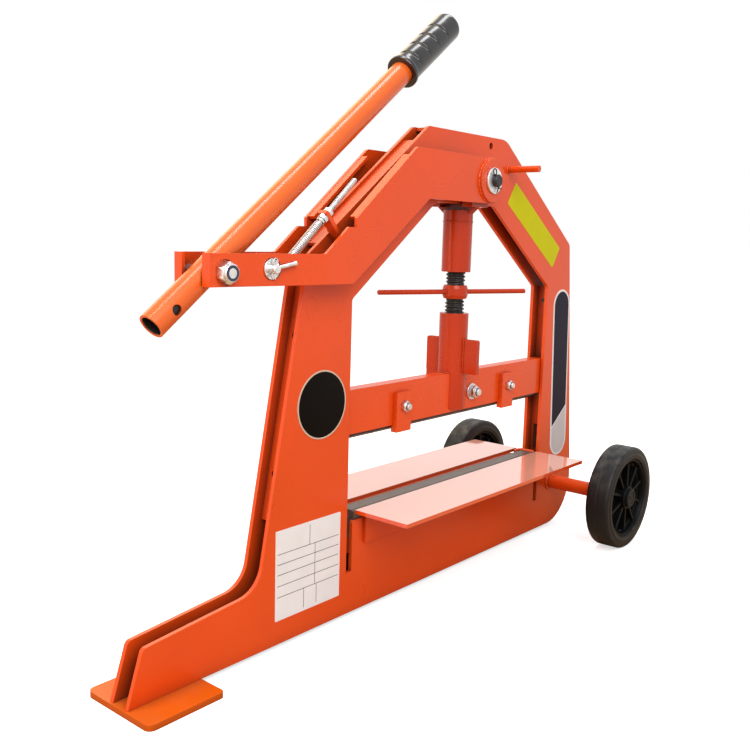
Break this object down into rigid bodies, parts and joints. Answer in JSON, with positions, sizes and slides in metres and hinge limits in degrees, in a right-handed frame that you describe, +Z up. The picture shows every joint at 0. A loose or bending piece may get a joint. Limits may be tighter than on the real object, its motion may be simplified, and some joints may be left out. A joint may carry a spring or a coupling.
{
  "type": "masonry block splitter",
  "caption": "Hand-lever splitter for paving blocks: plate frame with a foot and wheels, tables over a lower blade, and a guided upper blade set by a screw jack.",
  "frame": {"origin": "on the ground, in the middle of the machine's length and width", "axes": "+X from the foot towards the wheels, +Y to the right side as seen from the handle's user facing the foot, +Z up"},
  "size_m": [1.0836, 0.382, 0.9055],
  "materials": {
    "orange_paint": "gloss",
    "blade_steel": "satin",
    "zinc": "zinc plated",
    "grip_rubber": "gloss",
    "rim_plastic": "satin",
    "tyre_rubber": "matt",
    "cap_plastic": "satin"
  },
  "bodies": {
    "frame": {"side_plate_left": "orange_paint", "side_plate_right": "orange_paint", "front_web": "orange_paint", "arm_web": "orange_paint", "head_cap": "orange_paint", "rear_arm_web": "orange_paint", "rear_web": "orange_paint", "guide_web": "orange_paint", "base_strip": "orange_paint", "foot_pad": "orange_paint", "peg": "orange_paint", "bed_bar": "orange_paint", "lower_blade": "blade_steel", "table_left": "orange_paint", "table_right": "orange_paint", "bearer_left": "orange_paint", "bearer_right": "orange_paint", "pivot_pin": "zinc", "pivot_washers": "zinc", "pivot_split_pin": "zinc", "return_spring": "zinc", "spring_adjuster": "zinc", "adjuster_nuts": "zinc", "spring_lug": "orange_paint", "axle": "orange_paint", "axle_caps": "cap_plastic"},
    "lever": {"lever_plate_left": "orange_paint", "lever_plate_right": "orange_paint", "eccentrics": "blade_steel", "boss_discs": "orange_paint", "nose_bolt": "zinc", "nose_nut": "zinc", "lock_pin": "zinc", "lock_washer": "zinc", "lock_split_pin": "zinc", "spring_peg": "orange_paint", "spring_eye": "zinc"},
    "handle": {"handle_tube": "orange_paint", "grip": "grip_rubber"},
    "jack_head": {"jack_head": "orange_paint"},
    "screw": {"screw": "blade_steel"},
    "hub": {"hub": "orange_paint", "hand_rod": "orange_paint"},
    "beam": {"beam": "orange_paint", "upper_blade": "blade_steel", "clamp_left": "orange_paint", "clamp_right": "orange_paint", "clamp_bolts": "zinc", "saddle_bolt": "zinc", "jack_foot": "orange_paint"},
    "wheel_left": {"rim_left": "rim_plastic", "tyre_left": "tyre_rubber"},
    "wheel_right": {"rim_right": "rim_plastic", "tyre_right": "tyre_rubber"}
  },
  "joints": [
    {"name": "lever_pivot", "type": "hinge", "parent": "frame", "child": "lever", "pos_m": [0.13369, 0, 0.659], "axis": [0, -1, 0], "range_deg": [0, 10], "stiffness_Nm_per_rad": 80, "springref_deg": -28.65, "deforming": ["return_spring"]},
    {"name": "handle_fold", "type": "hinge", "parent": "lever", "child": "handle", "pos_m": [-0.40775, 0, 0.518], "axis": [0, -1, 0], "range_deg": [0, 118]},
    {"name": "yoke_pivot", "type": "hinge", "parent": "lever", "child": "jack_head", "pos_m": [0.11775, 0, 0.66039], "axis": [0, -1, 0], "range_deg": [-10, 0]},
    {"name": "beam_slide", "type": "slide", "parent": "jack_head", "child": "beam", "axis": [0, 0, 1], "range_m": [-0.096, 0.036]},
    {"name": "screw_slide", "type": "slide", "parent": "jack_head", "child": "screw", "axis": [0, 0, 1], "range_m": [-0.048, 0.018]},
    {"name": "hub_turn", "type": "hinge", "parent": "screw", "child": "hub", "pos_m": [0.11775, 0, 0.479], "axis": [0, 0, 1], "range_deg": [-1080, 2880]},
    {"name": "wheel_left_spin", "type": "hinge", "parent": "frame", "child": "wheel_left", "pos_m": [0.44625, -0.165, 0.0955], "axis": [0, 1, 0], "continuous": true},
    {"name": "wheel_right_spin", "type": "hinge", "parent": "frame", "child": "wheel_right", "pos_m": [0.44625, 0.165, 0.0955], "axis": [0, 1, 0], "continuous": true}
  ],
  "couplings": [
    {"joint": "yoke_pivot", "follows": "lever_pivot", "ratio": -1},
    {"joint": "screw_slide", "follows": "beam_slide", "ratio": 0.5},
    {"joint": "hub_turn", "follows": "beam_slide", "rad_per_m": -523.6}
  ]
}
